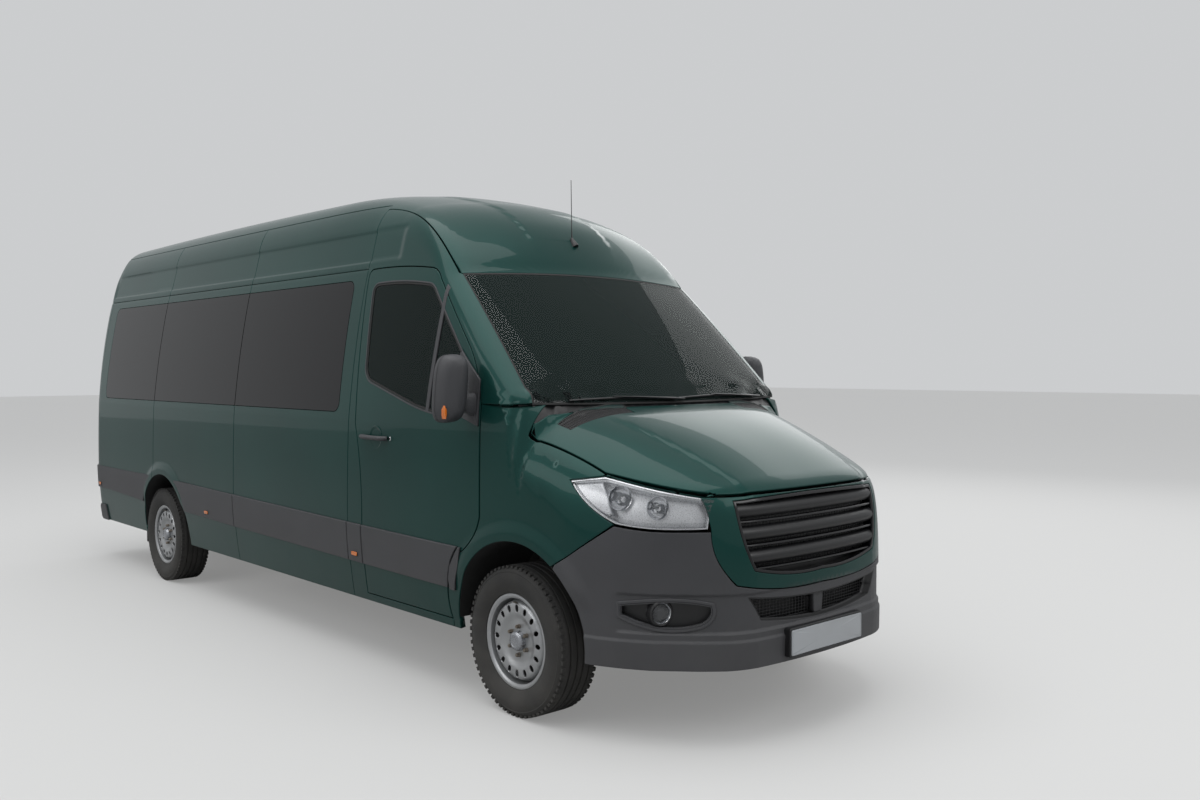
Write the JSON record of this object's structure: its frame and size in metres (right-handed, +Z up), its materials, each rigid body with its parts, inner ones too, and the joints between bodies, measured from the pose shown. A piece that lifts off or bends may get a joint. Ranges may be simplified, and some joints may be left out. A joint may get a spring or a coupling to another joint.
{
  "type": "minibus",
  "caption": "Long-wheelbase high-roof minibus with hollow panelled body, hinged doors and bonnet, steered front wheels and rows of seats.",
  "frame": {"origin": "on the ground under the middle of the overall length and width", "axes": "+X forward, +Y to the vehicle's left, +Z up"},
  "size_m": [6.967, 2.3454, 2.699],
  "materials": {
    "paint": "dark green metallic gloss",
    "grey_plastic": "fine grained, matt",
    "black_plastic": "satin black",
    "clear_glass": "clear with a slight green tint",
    "tinted_glass": "near-black tint",
    "lamp_lens": "clear lens over reflectors",
    "red_lens": "red lens",
    "plate": "blank plate",
    "underbody": "black wax over primer",
    "cast_metal": "cast",
    "exhaust_steel": "heat-dulled",
    "wheel_steel": "silver lacquer",
    "tyre": "rubber",
    "seat_fabric": "woven cloth"
  },
  "bodies": {
    "root": {"roof_panel": "paint", "rear_frame": "paint", "side_panel_right": "paint", "side_panel_left": "paint", "cab_frame": "paint", "front_wings": "paint", "grille_surround": "paint", "arch_lips": "paint", "sliding_door": "paint", "front_bumper": "grey_plastic", "rear_bumper": "grey_plastic", "body_mouldings": "grey_plastic", "windscreen": "clear_glass", "side_glass": "tinted_glass", "front_lamps": "lamp_lens", "tail_lamps": "red_lens", "grille": "black_plastic", "wipers": "black_plastic", "antenna": "black_plastic", "front_plate": "plate", "floor_pan": "underbody", "bulkhead": "underbody", "wheelhouses": "underbody", "chassis_frame": "underbody", "front_suspension": "underbody", "rear_axle": "underbody", "propshaft": "underbody", "engine": "cast_metal", "fuel_tank": "black_plastic", "exhaust": "exhaust_steel", "spare_wheel": "tyre", "dashboard": "black_plastic", "steering_wheel": "black_plastic", "seats": "seat_fabric", "seat_bases": "underbody"},
    "front_door_right": {"front_door_right_panel": "paint", "front_door_right_glass": "clear_glass", "front_door_right_trim": "grey_plastic", "mirror_right": "grey_plastic"},
    "front_door_left": {"front_door_left_panel": "paint", "front_door_left_glass": "clear_glass", "front_door_left_trim": "grey_plastic", "mirror_left": "grey_plastic"},
    "rear_door_right": {"rear_door_right": "paint", "rear_door_right_glass": "tinted_glass"},
    "rear_door_left": {"rear_door_left": "paint", "rear_door_left_glass": "tinted_glass"},
    "bonnet": {"bonnet": "paint"},
    "knuckle_right": {"knuckle_right": "cast_metal"},
    "knuckle_left": {"knuckle_left": "cast_metal"},
    "wheel_front_right": {"rim_front_right": "wheel_steel", "tyre_front_right": "tyre"},
    "wheel_front_left": {"rim_front_left": "wheel_steel", "tyre_front_left": "tyre"},
    "wheel_rear_right": {"rim_rear_right": "wheel_steel", "tyre_rear_right": "tyre"},
    "wheel_rear_left": {"rim_rear_left": "wheel_steel", "tyre_rear_left": "tyre"}
  },
  "joints": [
    {"name": "front_door_right_hinge", "type": "hinge", "parent": "root", "child": "front_door_right", "pos_m": [2.1965, -1.005, 1], "axis": [0, 0, 1], "range_deg": [0, 70]},
    {"name": "front_door_left_hinge", "type": "hinge", "parent": "root", "child": "front_door_left", "pos_m": [2.1965, 1.005, 1], "axis": [0, 0, -1], "range_deg": [0, 70]},
    {"name": "rear_door_right_hinge", "type": "hinge", "parent": "root", "child": "rear_door_right", "pos_m": [-3.4745, -0.935, 1.3], "axis": [0, 0, 1], "range_deg": [0, 180]},
    {"name": "rear_door_left_hinge", "type": "hinge", "parent": "root", "child": "rear_door_left", "pos_m": [-3.4745, 0.935, 1.3], "axis": [0, 0, -1], "range_deg": [0, 180]},
    {"name": "bonnet_hinge", "type": "hinge", "parent": "root", "child": "bonnet", "pos_m": [2.4795, 0, 1.432], "axis": [0, -1, 0], "range_deg": [0, 60]},
    {"name": "steer_right", "type": "hinge", "parent": "root", "child": "knuckle_right", "pos_m": [2.4315, -0.79, 0.35], "axis": [0, 0, 1], "range_deg": [-35, 35]},
    {"name": "steer_left", "type": "hinge", "parent": "root", "child": "knuckle_left", "pos_m": [2.4315, 0.79, 0.35], "axis": [0, 0, 1], "range_deg": [-35, 35]},
    {"name": "spin_front_right", "type": "hinge", "parent": "knuckle_right", "child": "wheel_front_right", "pos_m": [2.4315, -0.86, 0.35], "axis": [0, 1, 0], "continuous": true},
    {"name": "spin_front_left", "type": "hinge", "parent": "knuckle_left", "child": "wheel_front_left", "pos_m": [2.4315, 0.86, 0.35], "axis": [0, 1, 0], "continuous": true},
    {"name": "spin_rear_right", "type": "hinge", "parent": "root", "child": "wheel_rear_right", "pos_m": [-1.8935, -0.86, 0.35], "axis": [0, 1, 0], "continuous": true},
    {"name": "spin_rear_left", "type": "hinge", "parent": "root", "child": "wheel_rear_left", "pos_m": [-1.8935, 0.86, 0.35], "axis": [0, 1, 0], "continuous": true}
  ],
  "couplings": [
    {"joint": "steer_left", "follows": "steer_right", "ratio": 1}
  ]
}
